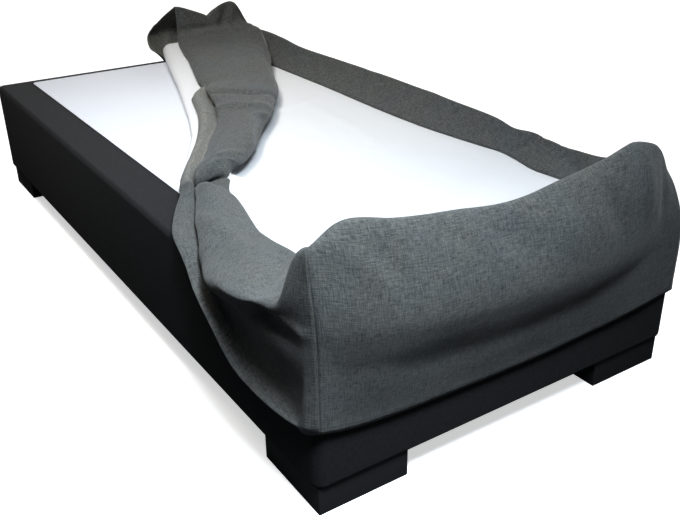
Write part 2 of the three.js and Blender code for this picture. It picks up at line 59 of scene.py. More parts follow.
def addCamera():
    forward = Vector(view["forward"]).normalized()
    right = Vector(view["right"])
    right = (right - forward * right.dot(forward)).normalized()
    up = right.cross(forward)
    data = bpy.data.cameras.new("camera")
    data.lens = view["lens"]
    data.sensor_width = view["sensor"]
    data.clip_start = 0.05
    data.clip_end = 60
    camera = bpy.data.objects.new("camera", data)
    bpy.context.scene.collection.objects.link(camera)
    turn = Matrix((right, up, -forward)).transposed()
    camera.matrix_world = Matrix.Translation(place(*view["at"])) @ turn.to_4x4()
    bpy.context.scene.camera = camera


addCamera()
print("camera set")

# ---- cloth shapes: smooth surfaces through rows of places


def smoothThrough(points, steps):  # centripetal Catmull-Rom, with steps[k] pieces in span k
    p = np.asarray(points, float)
    p = np.concatenate([2 * p[:1] - p[1:2], p, 2 * p[-1:] - p[-2:-1]])
    out = []
    for k in range(len(p) - 3):
        a, b, c, d = p[k:k + 4]
        ab, bc, cd = (np.maximum(np.sum((q - r) ** 2, -1, keepdims=True) ** 0.25, 1e-6)
                      for q, r in ((b, a), (c, b), (d, c)))
        startPull = ((b - a) / ab - (c - a) / (ab + bc) + (c - b) / bc) * bc
        endPull = ((c - b) / bc - (d - b) / (bc + cd) + (d - c) / cd) * bc
        for t in np.arange(steps[k]) / steps[k]:
            out.append(b + startPull * t + (3 * (c - b) - 2 * startPull - endPull) * t ** 2
                       + (2 * (b - c) + startPull + endPull) * t ** 3)
    out.append(p[-2])
    return np.array(out)


def loft(rows, acrossSteps, spacing):
    rows = np.asarray(rows, float)
    across = smoothThrough(rows.transpose(1, 0, 2), acrossSteps).transpose(1, 0, 2)
    gaps = np.linalg.norm(np.diff(across, axis=0), axis=2).max(1)
    return smoothThrough(across, [max(1, round(gap / spacing)) for gap in gaps])


def surfaceNormals(grid):
    along = np.gradient(grid, axis=0)
    across = np.gradient(grid, axis=1)
    normal = np.cross(across, along)
    return normal / np.maximum(np.linalg.norm(normal, axis=2, keepdims=True), 1e-9)


def distanceTo(path, grid):  # distance from each point of the grid to a line of places, and how far along
    path = np.asarray(path, float)
    best = np.full(grid.shape[:2], 1e9)
    along = np.zeros(grid.shape[:2])
    lengths = np.linalg.norm(np.diff(path, axis=0), axis=1)
    done = 0
    for a, b, length in zip(path, path[1:], lengths):
        t = np.clip(((grid - a) @ (b - a)) / length ** 2, 0, 1)
        away = np.linalg.norm(grid - (a + t[..., None] * (b - a)), axis=2)
        nearer = away < best
        best = np.where(nearer, away, best)
        along = np.where(nearer, (done + t * length) / lengths.sum(), along)
        done += length
    return best, along


def fromEdges(grid, reach=12):  # 0 on the panel's outline, 1 a little way in, so that seams keep their line
    toEdge = np.full(grid.shape[:2], 1e9)
    for side in (grid[:1], grid[-1:], grid[:, :1], grid[:, -1:]):
        toEdge = np.minimum(toEdge, np.linalg.norm(grid - side, axis=2))
    return np.clip(toEdge / reach, 0, 1)


foldEnd = 0.04  # how near to its ends a fold stops fading


def addFolds(grid, folds, facing=1):  # each fold: a line of places, half width, height (minus for a trough)
    normal = surfaceNormals(grid) * facing
    lift = np.zeros(grid.shape[:2])
    for path, width, height in folds:
        away, along = distanceTo(path, grid)
        fade = np.sin(np.pi * np.clip(along, foldEnd, 1 - foldEnd)) ** 0.5
        lift += height * np.exp(-(away / width) ** 2) * fade
    return grid + normal * (lift * fromEdges(grid))[..., None]


def addUnevenness(grid, height, size, seed):
    normal = surfaceNormals(grid)
    lift = np.array([[noise.noise(Vector(p / size) + Vector((seed, 0, 0))) for p in row] for row in grid])
    return grid + normal * (height * lift * fromEdges(grid, 30))[..., None]


def arcLengths(grid):
    across = np.linalg.norm(np.diff(grid, axis=1), axis=2)
    along = np.linalg.norm(np.diff(grid, axis=0), axis=2).mean(1)
    u = np.concatenate([np.zeros((len(grid), 1)), across.cumsum(1)], axis=1)
    v = np.concatenate([[0], along.cumsum()])
    return u, np.repeat(v[:, None], grid.shape[1], axis=1)


def clothPiece(name, grid, cloth, front, back):
    if cloth.get("faceFlipped"):
        grid = grid[::-1]
    rows, columns = grid.shape[:2]
    bm = bmesh.new()
    bmesh.ops.create_grid(bm, x_segments=columns - 1, y_segments=rows - 1, size=1)
    bm.verts.ensure_lookup_table()
    for vert, p in zip(bm.verts, grid.reshape(-1, 3)):
        vert.co = place(*p)
    u, v = arcLengths(grid)
    flat = np.stack([u, v], 2).reshape(-1, 2) * mm
    uvLayer = bm.loops.layers.uv.new("weave")
    hemLayer = bm.verts.layers.deform.new()
    width = u[:, -1].max()
    for face in bm.faces:
        face.smooth = True
        for loop in face.loops:
            loop[uvLayer].uv = flat[loop.vert.index]
    hemThickness = cloth.get("hemThickness", cloth["thickness"])
    plainShare = cloth["thickness"] / hemThickness
    for vert in bm.verts:
        fromHem = flat[vert.index][0] / mm if cloth.get("hem") else width
        vert[hemLayer][0] = 1 if fromHem < cloth.get("hem", 0) else plainShare
    if "cuff" in cloth:  # the hem strip turned back there shows the reverse of the cloth
        start, end, wide = cloth["cuff"]
        for face in bm.faces:
            spot = face.verts[0].index
            if spot % columns < wide and start < grid[spot // columns, 0, 1] < end:
                face.material_index = 1
    mesh = bpy.data.meshes.new(name)
    bm.to_mesh(mesh)
    bm.free()
    for material in (front, back, front):  # the third is the underside of the cuff
        mesh.materials.append(material)
    piece = bpy.data.objects.new(name, mesh)
    bpy.context.scene.collection.objects.link(piece)
    piece.vertex_groups.new(name="hem")
    solid = piece.modifiers.new("thickness", "SOLIDIFY")
    solid.thickness = hemThickness * mm
    solid.offset = 0
    solid.vertex_group = "hem"
    solid.thickness_vertex_group = 0
    solid.material_offset = 1
    return piece


# ---- seams that panels share: hem first, over the ridge, to the white panel

nearLeftSeam = [(3, -11, 193), (3, -12, 255), (2, -13, 310), (1, -15, 355), (-2, -17, 395), (-6, -14, 466),
                (-4, -2, 524), (20, 18, 514)]
nearLeftTurn = [(-13, 6, 190), (-10, 6, 250), (-9, 6, 305), (-12, 6, 350), (-11, 6, 392), (-14, 6, 462),
                (-3, 12, 520), (26, 26, 506)]
nearRightSeam = [(898, -3, 180), (897, -4, 235), (895, -5, 290), (887, -6, 342), (866, -6, 392),
                 (842, 4, 446), (812, 22, 487), (818, 40, 466)]
nearRightTurn = [(906, 12, 179), (907, 12, 235), (908, 12, 290), (906, 12, 342), (884, 14, 392),
                 (858, 24, 446), (836, 40, 482), (822, 54, 452)]

# ---- foot panel

footPanel = {"thickness": 1.8, "hemThickness": 3.2, "hem": 14, "spacing": 9, "across": [8, 6, 6, 5, 8, 8, 5],
             "hemOut": 9, "ridgeDepth": 24, "ridgeDrop": 26, "flat": (0.90, 0.38), "faceFlipped": True,
             "swellShares": [(0.22, 0.34), (0.55, 0.64), (0.85, 0.86)], "bellyHeight": 12,
             "shoulderShare": 0.62,
             "seamLines": [("start", 2), ("start", 9), ("end", 7)]}  # end of the panel, way in from its seam
footSections = [  # x, hemZ, tuckOut, bellyOut, bellyZ, shoulderOut, ridgeOut, ridgeZ
    (60, 178, 11, 38, 376, 25, 1, 552),
    (160, 168, 12, 52, 362, 34, 2, 534),
    (290, 163, 12, 60, 350, 40, 3, 514),
    (430, 160, 12, 63, 342, 43, 4, 503),
    (520, 160, 12, 62, 340, 47, 6, 516),
    (620, 164, 12, 57, 341, 51, 12, 534),
    (700, 167, 12, 47, 350, 43, 11, 549),
    (765, 171, 11, 33, 364, 30, 6, 532),
    (800, 174, 11, 23, 374, 19, -4, 506),
]


def footRow(x, hemZ, tuckOut, bellyOut, bellyZ, shoulderOut, ridgeOut, ridgeZ):
    rise = bellyZ - hemZ
    swell = bellyOut - tuckOut
    lower = [(x, -(tuckOut + out * swell), hemZ + up * rise) for out, up in footPanel["swellShares"]]
    return [(x, -footPanel["hemOut"], hemZ), *lower, (x, -bellyOut, bellyZ + footPanel["bellyHeight"]),
            (x, -shoulderOut, bellyZ + footPanel["shoulderShare"] * (ridgeZ - bellyZ)),
            (x, -ridgeOut + 2, ridgeZ),
            (x, footPanel["ridgeDepth"] - ridgeOut, ridgeZ - footPanel["ridgeDrop"])]


footFolds = [  # line of places, half width, height
    ([(30, -20, 540), (60, -24, 505), (92, -30, 470)], 14, 5),
    ([(96, -26, 522), (128, -34, 480), (150, -46, 430)], 18, -6),
    ([(330, -40, 490), (390, -50, 452), (430, -60, 405)], 26, -7),
    ([(470, -40, 490), (505, -50, 450), (520, -60, 400)], 20, 5),
    ([(590, -45, 500), (620, -52, 450), (640, -54, 400)], 26, -8),
    ([(700, -14, 548), (716, -32, 490), (722, -44, 420)], 20, 7),
    ([(775, -14, 505), (782, -20, 450), (790, -22, 390)], 18, -7),
    ([(60, -24, 300), (220, -30, 262), (400, -34, 254), (600, -32, 256), (790, -18, 300)], 24, -4),
]
footGrid = loft([nearLeftSeam] + [footRow(*row) for row in footSections] + [nearRightSeam],
                footPanel["across"], footPanel["spacing"])
footShape = addUnevenness(addFolds(footGrid, footFolds, -1), 2.5, 110, 3)

# ---- left panel: up the side, through the pinch, and as a band across the bed

bandTurn = 27.1


def band(v):
    a = math.radians(bandTurn)
    return (v * math.sin(a), v * math.cos(a), bandTurn)


leftPanel = {"thickness": 1.8, "hemThickness": 3.2, "hem": 14, "spacing": 9, "across": [4, 7, 7, 8, 8, 8, 8],
             "flat": (0.38, 2.0), "pinchAfter": 700, "cuff": (716, 1395, 11)}
leftSections = [  # where the section stands and its turn, then [out, z] of each place from hem to seam
    ((0, 34, 0), (-16, 190), (-10, 200), (-5, 222), (-16, 345), (-13, 376), (-23, 436), (-2, 502), (35, 494)),
    ((0, 62, 0), (-20, 188), (-12, 198), (-4, 220), (-18, 340), (-14, 379), (-28, 408), (14, 428), (60, 440)),
    ((0, 102, 0), (-24, 187), (-14, 197), (-3, 218), (-21, 338), (-10, 379), (-32, 398), (28, 398),
     (94, 398)),
    ((0, 165, 0), (-28, 190), (-17, 199), (-3, 220), (-18, 325), (-22, 353), (-39, 380), (34, 387),
     (122, 374)),
    ((0, 235, 0), (-31, 202), (-20, 208), (-3, 228), (-10, 312), (-31, 346), (-38, 368), (42, 379),
     (136, 367)),
    ((0, 310, 0), (-37, 262), (-28, 264), (-4, 268), (-7, 308), (-34, 342), (-21, 362), (50, 372),
     (145, 358)),
    ((0, 372, 0), (-35, 301), (-26, 303), (-8, 304), (-9, 326), (-12, 347), (10, 362), (62, 372), (142, 354)),
    ((0, 400, 0), (-31, 323), (-26, 327), (-2, 320), (-4, 350), (8, 364), (34, 372), (74, 371), (141, 354)),
    ((0, 430, 0), (-28, 344), (-2, 347), (13, 342), (10, 362), (26, 374), (54, 379), (88, 372), (141, 354)),
    ((0, 492, 0), (-18, 363), (24, 357), (42, 343), (36, 368), (51, 381), (78, 385), (108, 376), (155, 354)),
    ((0, 560, 0), (12, 362), (54, 359), (72, 343), (64, 370), (79, 384), (104, 388), (130, 378), (172, 355)),
    ((0, 620, 0), (44, 362), (83, 362), (101, 343), (92, 372), (106, 386), (129, 390), (150, 379),
     (183, 357)),
    (band(800), (-236, 366), (-222, 383), (-201, 369), (-186, 390), (-146, 403), (-115, 394),
     (-102, 374), (-124, 361)),
    (band(900), (-226, 366), (-212, 383), (-190, 369), (-172, 390), (-120, 403), (-79, 395),
     (-66, 375), (-102, 361)),
    (band(1000), (-218, 366), (-204, 384), (-184, 369), (-165, 390), (-104, 403), (-62, 395),
     (-49, 375), (-92, 361)),
    (band(1100), (-216, 366), (-201, 385), (-171, 368), (-160, 391), (-88, 403), (-44, 395),
     (-31, 375), (-82, 361)),
    (band(1190), (-219, 367), (-204, 386), (-166, 367), (-166, 393), (-80, 403), (-29, 395),
     (-17, 375), (-76, 361)),
    (band(1262), (-227, 368), (-212, 386), (-168, 367), (-174, 394), (-80, 403), (-19, 396),
     (-7, 376), (-70, 361)),
    (band(1330), (-238, 369), (-222, 387), (-182, 369), (-190, 396), (-84, 404), (-11, 396), (1, 376),
     (-66, 361)),
    (band(1385), (-246, 371), (-231, 388), (-194, 373), (-201, 398), (-88, 404), (-5, 396), (8, 376),
     (-66, 361)),
    (band(1435), (-235, 374), (-224, 388), (-209, 383), (-194, 397), (-90, 403), (-2, 395), (11, 376),
     (-66, 361)),
    (band(1470), (-217, 377), (-211, 388), (-200, 392), (-182, 398), (-92, 403), (-3, 395), (11, 376),
     (-67, 361)),
    (band(1545), (-234, 380), (-227, 391), (-214, 396), (-190, 400), (-98, 404), (-9, 396), (5, 377),
     (-70, 361)),
    (band(1690), (-259, 388), (-251, 398), (-237, 404), (-208, 407), (-108, 408), (-16, 401),
     (1, 383), (-70, 363)),
    (band(1800), (-277, 393), (-269, 403), (-254, 409), (-222, 412), (-116, 411), (-28, 404),
     (2, 392), (-66, 368)),
    ((890, 1790, 12), (-291, 396), (-283, 406), (-267, 412), (-232, 416), (-122, 417), (-44, 424),
     (-2, 446), (-20, 402)),
    ((890, 1905, 12), (-255, 402), (-248, 412), (-232, 421), (-196, 431), (-112, 440), (-36, 448),
     (4, 452), (12, 428)),
    ((655, 1984, 14), (-4, 458), (3, 464), (24, 466), (70, 462), (124, 458), (160, 478), (214, 480),
     (250, 444)),
    ((655, 1997, 15), (0, 522), (18, 519), (62, 504), (100, 489), (122, 480), (154, 512), (211, 525),
     (260, 449)),
]


pinchRows = [  # where the side's lobe dives under the band's rolled end, place by place from hem to seam
    [(70, 662, 363), (100, 661, 366), (116, 660, 345), (107, 659, 372), (120, 657, 386), (136, 653, 391),
     (154, 648, 380), (182, 642, 360)],
    [(84, 686, 365), (109, 684, 371), (123, 682, 346), (116, 679, 370), (126, 677, 381), (141, 673, 382),
     (160, 671, 370), (194, 668, 365)],
    [(94, 706, 366), (112, 702, 380), (128, 700, 348), (120, 695, 362), (138, 696, 364), (158, 695, 367),
     (178, 694, 370), (208, 692, 367)],
    [(100, 722, 366), (117, 714, 381), (131, 712, 350), (132, 716, 356), (150, 722, 359), (170, 726, 361),
     (192, 728, 362), (216, 724, 361)],
    [(107, 736, 366), (121, 728, 382), (134, 718, 352), (128, 696, 372), (150, 702, 374), (174, 711, 376),
     (204, 722, 374), (224, 730, 364)],
    [(114, 752, 366), (128, 744, 384), (138, 728, 356), (130, 702, 394), (156, 712, 402), (190, 730, 403),
     (236, 746, 392), (234, 744, 364)],
    [(126, 774, 366), (140, 766, 384), (154, 756, 364), (152, 736, 396), (178, 738, 404), (214, 744, 403),
     (250, 748, 386), (244, 752, 364)],
]


def turned(run, out, z):
    x, y, turn = run
    a = math.radians(turn)
    return (x + out * math.cos(a), y - out * math.sin(a), z)


sectionRows = [[turned(run, *spot) for spot in spots] for run, *spots in leftSections]
pinchAt = next(k for k, (run, *_) in enumerate(leftSections) if run[1] > leftPanel["pinchAfter"])
leftRows = [nearLeftSeam, nearLeftTurn] + sectionRows[:pinchAt] + pinchRows + sectionRows[pinchAt:]
leftGrid = loft(leftRows, leftPanel["across"], leftPanel["spacing"])
bandSeam = [(161, 720, 400), (239, 836, 400), (329, 956, 400), (417, 1095, 400), (428, 1205, 398)]
leftFolds = [
    ([(120, 300, 360), (92, 255, 366), (62, 215, 372), (22, 170, 380), (-8, 130, 388)], 19, -15),
    ([(128, 200, 372), (86, 160, 376), (46, 120, 388), (14, 92, 398)], 36, 16),
    ([(28, 560, 365), (60, 470, 378), (70, 380, 374), (40, 300, 374)], 26, 5),
    ([(-32, 104, 392), (-22, 66, 386), (-14, 20, 382), (-8, -6, 378)], 10, 5),
    ([(-14, 8, 350), (-12, 63, 352), (-10, 125, 356)], 12, -4),
    ([(-8, 0, 274), (-8, 93, 264), (-8, 163, 267), (-8, 217, 281)], 28, -3),
    ([(425, 1300, 398), (479, 1250, 400), (536, 1199, 400), (605, 1165, 385)], 15, -13),
    ([(380, 1150, 398), (426, 1127, 400), (463, 1092, 400), (530, 1072, 388)], 20, 10),
    ([(500, 1030, 396), (429, 1000, 400), (367, 889, 400), (320, 801, 398), (272, 742, 396)], 11, 8),
    ([(540, 1010, 380), (462, 985, 390), (400, 880, 388), (350, 800, 388)], 20, -11),
    ([(142, 720, 396), (196, 759, 398), (258, 775, 398), (300, 778, 392)], 11, 6),
    (bandSeam, 5, -2),
    ([(640, 1940, 408), (700, 1938, 420), (760, 1915, 432), (830, 1890, 446), (900, 1880, 452)], 9, 8),
    ([(640, 1972, 440), (700, 1966, 445), (760, 1950, 448), (800, 1940, 455)], 12, -10),
    ([(790, 1935, 440), (815, 1940, 470), (828, 1950, 505)], 9, -12),
    ([(840, 1925, 450), (848, 1938, 480), (860, 1945, 512)], 9, 8),
    ([(880, 1780, 445), (790, 1560, 402), (735, 1430, 396)], 16, -8),
    ([(560, 1330, 400), (640, 1500, 404), (700, 1640, 408)], 22, 5),
]
leftShape = addUnevenness(addFolds(leftGrid, leftFolds), 1.5, 90, 11)

# ---- right panel

rightPanel = {"thickness": 1.8, "hemThickness": 3.2, "hem": 14, "spacing": 12,
              "across": [6, 6, 5, 6, 3, 4, 4], "flat": (0.36, 2.0), "faceFlipped": True,
              "seamLines": [("start", 4)]}
rightSections = [  # y, hemZ, sideOut, sideZ, ridgeX, ridgeZ, seamX, seamZ
    (62, 176, 9, 320, 859, 477, 825, 443),
    (102, 172, 9, 328, 877, 455, 830, 420),
    (165, 164, 9, 330, 896, 428, 835, 385),
    (235, 158, 9, 326, 905, 409, 838, 359),
    (310, 153, 9, 322, 906, 405, 838, 354),
    (372, 150, 9, 320, 907, 405, 839, 352),
    (450, 150, 9, 322, 907, 410, 856, 352),
    (510, 150, 9, 322, 906, 405, 864, 352),
    (570, 150, 9, 324, 907, 414, 856, 352),
    (760, 150, 9, 328, 907, 421, 836, 352),
    (1000, 148, 9, 330, 907, 425, 833, 352),
    (1280, 148, 9, 330, 907, 425, 842, 352),
    (1540, 146, 9, 330, 907, 424, 844, 352),
    (1660, 146, 9, 334, 907, 434, 845, 352),
    (1780, 146, 9, 336, 908, 438, 850, 352),
    (1900, 146, 9, 334, 909, 432, 856, 352),
    (1990, 146, 8, 330, 909, 418, 866, 352),
]
bedWidth = 900


def rightRow(y, hemZ, sideOut, sideZ, ridgeX, ridgeZ, seamX, seamZ):
    side = bedWidth + sideOut
    inward = ridgeX - seamX
    drop = ridgeZ - seamZ
    return [(side - 1, y, hemZ), (side, y, hemZ + 0.45 * (sideZ - hemZ)), (side, y, sideZ),
            (side + 0.35 * (ridgeX - side), y, sideZ + 0.62 * (ridgeZ - sideZ)), (ridgeX, y, ridgeZ),
            (ridgeX - 0.2 * inward, y, ridgeZ - 0.3 * drop),
            (ridgeX - 0.55 * inward, y, ridgeZ - 0.68 * drop), (seamX, y, seamZ)]


rightGrid = loft([nearRightSeam, nearRightTurn] + [rightRow(*row) for row in rightSections],
                 rightPanel["across"], rightPanel["spacing"])
rightFolds = [
    ([(858, 525, 350), (880, 470, 374), (902, 407, 406)], 10, -6),
    ([(900, 430, 410), (876, 500, 372), (862, 560, 352)], 12, 5),
    ([(897, 345, 400), (874, 270, 380), (848, 200, 362)], 18, -8),
    ([(902, 1690, 434), (870, 1656, 376), (848, 1692, 354)], 9, -5),
    ([(900, 1130, 420), (872, 1100, 385), (846, 1080, 358)], 20, -4),
    ([(902, 830, 418), (874, 860, 384), (846, 905, 358)], 24, 4),
    ([(911, 300, 250), (911, 340, 200), (911, 380, 160)], 26, 4),
    ([(911, 1210, 330), (911, 1160, 240), (911, 1120, 160)], 30, 4),
    ([(911, 1840, 330), (911, 1760, 240), (911, 1700, 160)], 30, 4),
]
rightShape = addUnevenness(addFolds(rightGrid, rightFolds, -1), 1.5, 120, 23)

# ---- head panel: from the left panel's crest over the head of the bed and down behind it

headPanel = {"thickness": 1.8, "spacing": 8, "across": [8, 8, 7, 7, 6], "flat": (0.42, 0.32),
             "faceFlipped": True}
headSections = [  # for each place along the crest, from the open rim to the far seam
    ((616, 2051, 472), (572, 2080, 414), (570, 2059, 371), (590, 2028, 355), (604, 2013, 338)),
    ((650, 2060, 482), (618, 2098, 416), (612, 2078, 356), (622, 2040, 312), (630, 2022, 284)),
    ((710, 2048, 476), (696, 2088, 414), (690, 2068, 340), (690, 2036, 280), (692, 2020, 240)),
    ((752, 2036, 468), (748, 2066, 406), (746, 2050, 326), (746, 2030, 256), (748, 2018, 208)),
    ((778, 2030, 462), (780, 2058, 400), (782, 2044, 318), (784, 2028, 244), (786, 2017, 190)),
    ((812, 2026, 480), (818, 2056, 402), (822, 2042, 314), (824, 2026, 234), (826, 2016, 174)),
    ((868, 2012, 478), (874, 2040, 398), (876, 2032, 308), (876, 2022, 222), (876, 2014, 156)),
    ((914, 1976, 432), (914, 2004, 394), (912, 2006, 318), (911, 2004, 232), (910, 2002, 152)),
]
headRows = [[crest, *row] for crest, row in zip(leftRows[-1], headSections)]
headGrid = loft(headRows, headPanel["across"], headPanel["spacing"])
headFolds = [
    ([(604, 2070, 470), (600, 2085, 420), (612, 2060, 370)], 9, 7),
    ([(640, 2080, 440), (660, 2095, 400), (650, 2070, 340)], 12, -8),
    ([(700, 2070, 460), (720, 2078, 400), (716, 2055, 330)], 14, 7),
    ([(800, 2040, 440), (800, 2055, 390), (806, 2036, 310)], 16, -7),
    ([(850, 2025, 440), (856, 2040, 380), (858, 2030, 300)], 14, 6),
]
headShape = addFolds(headGrid, headFolds, -1)

# ---- white panel: hangs from the foot end's seams, lies on the bed, and folds back under the band

whitePanel = {"thickness": 1.0, "lyingZ": 341.4, "footReach": 290, "edgeReach": 110, "lapDrop": 1.2,
              "lapReach": 3, "foldStart": 748, "tuckStart": 600, "tuckLimit": 0.96,
              "seamEnd": 1900, "hemLead": 20, "spacing": 12, "flat": (0.90, 2.0)}
foldTurns = (90, 60, 30, 0, -30, -60, -90)
upperShares = (0, 0.2, 0.4, 0.6, 0.8, 1)
tongueSections = np.array([  # y, x of the tip, z of its upper layer
    (718, 97, 349), (764, 112, 350), (860, 168, 353), (1075, 286, 357), (1227, 346, 360), (1343, 384, 364),
    (1425, 412, 368), (1500, 437, 373), (1600, 467, 378), (1700, 497, 383), (1850, 543, 390),
     (1985, 588, 397)])


def easing(share):
    t = np.clip(share, 0, 1)
    return t * t * (3 - 2 * t)


def readAlong(rail, at, axis=1):  # the rail's point where its y (or x) is `at`
    order = np.argsort(rail[:, axis])
    return np.array([np.interp(at, rail[order, axis], rail[order, k]) for k in range(3)])


footRail = footGrid[:, -1]
leftRail = leftGrid[:, -1]
leftRail = leftRail[leftRail[:, 1] < whitePanel["seamEnd"]]
rightRail = rightGrid[:, -1]
hemRail = leftGrid[:, 0]
hemRail = hemRail[hemRail[:, 1] > whitePanel["foldStart"] - whitePanel["hemLead"]]


def whiteEdges(leftY, rightY):
    left = readAlong(leftRail, leftY)
    right = readAlong(rightRail, rightY)
    left[2] -= whitePanel["lapDrop"]
    right[2] -= whitePanel["lapDrop"]
    right[0] += whitePanel["lapReach"]
    return left, right


spareCount = len(upperShares) + 1 + len(foldTurns)
openCount = 78
openShares = (np.arange(openCount) + 1) / openCount
sparePitch = 3


def acrossBed(first, last):  # close steps by the left seam, as many as the fold takes, then even ones
    start = first + sparePitch * (spareCount - 1)
    return np.concatenate([first + sparePitch * np.arange(spareCount), start + openShares * (last - start)])


def openRow(leftY, rightY):
    left, right = whiteEdges(leftY, rightY)
    xs = acrossBed(left[0], right[0])
    share = (xs - left[0]) / (right[0] - left[0])
    ys = leftY + share * (rightY - leftY)
    seam = np.array([readAlong(footRail, x, 0) for x in xs])
    tuckRun = whitePanel["foldStart"] - whitePanel["tuckStart"]
    tuck = np.clip((leftY - whitePanel["tuckStart"]) / tuckRun, 0, whitePanel["tuckLimit"])
    roundReach = whitePanel["edgeReach"] * math.sqrt(1 - tuck ** 2)  # the raised edge rounds off at the fold
    nearLeft = 1 - easing((xs - left[0]) / roundReach)
    nearRight = 1 - easing((right[0] - xs) / whitePanel["edgeReach"])
    nearFoot = np.clip(1 - (ys - seam[:, 1]) / whitePanel["footReach"], 0, 1) ** 2
    falling = (seam[:, 2] - whitePanel["lyingZ"]) * nearFoot
    edges = (left[2] - whitePanel["lyingZ"]) * nearLeft + (right[2] - whitePanel["lyingZ"]) * nearRight
    zs = whitePanel["lyingZ"] + edges + falling * np.clip(1 - nearLeft - nearRight, 0, 1)
    return np.stack([xs, ys, zs], 1)


def foldedRow(y):
    left, right = whiteEdges(y, y)
    hemX = readAlong(hemRail, y)[0]
    tip = np.interp(y, tongueSections[:, 0], tongueSections[:, 1])
    upperZ = np.interp(y, tongueSections[:, 0], tongueSections[:, 2])
    r = (upperZ - whitePanel["lyingZ"]) / 2
    foldX = tip + r
    points = [(left[0] + s * (hemX - left[0]), left[2] + s * (upperZ - left[2])) for s in upperShares]
    points.append(((hemX + foldX) / 2, upperZ))
    for degrees in foldTurns:
        a = math.radians(degrees)
        points.append((foldX - r * math.cos(a), whitePanel["lyingZ"] + r + r * math.sin(a)))
    for share in openShares:
        x = foldX + share * (right[0] - foldX)
        near = 1 - easing((right[0] - x) / whitePanel["edgeReach"])
        points.append((x, whitePanel["lyingZ"] + (right[2] - whitePanel["lyingZ"]) * near))
    return np.array([(x, y, z) for x, z in points])


def whiteSeamRow():
    return np.array([readAlong(footRail, x, 0) for x in acrossBed(footRail[0, 0], footRail[-1, 0])])


whiteStations = [(24, 54), (32, 60), (46, 67), (62, 74), (80, 86)]  # y at the left seam and at the right one
whiteStations += [(y, y) for y in np.arange(102, 1990, whitePanel["spacing"])]
whiteRows = [whiteSeamRow()]
whiteRows += [openRow(*ys) if ys[0] < whitePanel["foldStart"] else foldedRow(ys[0]) for ys in whiteStations]
whiteGrid = np.array(whiteRows)
whiteFolds = [
    ([(222, 752, 358), (246, 704, 356), (258, 650, 350), (262, 590, 346)], 15, 8),
    ([(300, 640, 342), (380, 760, 342), (430, 900, 342), (455, 1060, 342)], 18, 3.5),
    ([(300, 430, 345), (420, 350, 350), (600, 340, 350), (760, 420, 346)], 24, 4),
    ([(430, 560, 342), (560, 800, 342), (640, 1060, 342)], 26, 3),
    ([(620, 560, 342), (700, 900, 342), (720, 1240, 342)], 22, 2.5),
    ([(520, 1240, 342), (640, 1180, 342), (800, 1230, 342)], 18, 3),
    ([(440, 1480, 373), (450, 1600, 378), (480, 1760, 384)], 10, 2),
]
whiteShape = addFolds(whiteGrid, whiteFolds)
print("cloth shapes lofted")

# ---- materials


def newMaterial(name, color, roughness):
    material = bpy.data.materials.new(name)
    material.use_nodes = True
    shader = material.node_tree.nodes["Principled BSDF"]
    shader.inputs["Base Color"].default_value = (*color, 1)
    shader.inputs["Roughness"].default_value = roughness
    return material


class NodeDesk:  # short calls to lay out nodes in a material or a group
    def __init__(self, tree):
        self.tree = tree

    def add(self, kind, **settings):
        node = self.tree.nodes.new(kind)
        for key, value in settings.items():
            setattr(node, key, value)
        return node

    def link(self, source, target):
        self.tree.links.new(source, target)

    def math(self, operation, a, b=0.0):
        node = self.add("ShaderNodeMath", operation=operation)
        for socket, value in zip(node.inputs, (a, b)):
            if isinstance(value, (int, float)):
                socket.default_value = value
            else:
                self.link(value, socket)
        return node.outputs[0]

    def stretchedNoise(self, vector, sizeX, sizeY, detail=2.0):
        mapping = self.add("ShaderNodeMapping")
        mapping.inputs["Scale"].default_value = (1 / sizeX, 1 / sizeY, 1)
        self.link(vector, mapping.inputs["Vector"])
        grain = self.add("ShaderNodeTexNoise", noise_dimensions="2D")
        grain.inputs["Scale"].default_value = 1
        grain.inputs["Detail"].default_value = detail
        grain.inputs["Roughness"].default_value = 0.6
        self.link(mapping.outputs["Vector"], grain.inputs["Vector"])
        return grain.outputs["Fac"]

    def mixColor(self, factor, a, b, blend="MIX"):
        node = self.add("ShaderNodeMix", data_type="RGBA", blend_type=blend)
        for socket, value in ((node.inputs[0], factor), (node.inputs[6], a), (node.inputs[7], b)):
            if isinstance(value, tuple):
                socket.default_value = (*value, 1)
            elif isinstance(value, (int, float)):
                socket.default_value = value
            else:
                self.link(value, socket)
        return node.outputs[2]

    def spread(self, value, low, high, toLow=0.0, toHigh=1.0):
        node = self.add("ShaderNodeMapRange")
        for key, number in (("From Min", low), ("From Max", high), ("To Min", toLow), ("To Max", toHigh)):
            node.inputs[key].default_value = number
        self.link(value, node.inputs["Value"])
        return node.outputs["Result"]


def newGroup(name, inputs, outputs):
    tree = bpy.data.node_groups.new(name, "ShaderNodeTree")
    for label, kind, start in inputs:
        socket = tree.interface.new_socket(label, in_out="INPUT", socket_type=kind)
        if start is not None:
            socket.default_value = start
    for label, kind in outputs:
        tree.interface.new_socket(label, in_out="OUTPUT", socket_type=kind)
    desk = NodeDesk(tree)
    return desk, desk.add("NodeGroupInput"), desk.add("NodeGroupOutput")


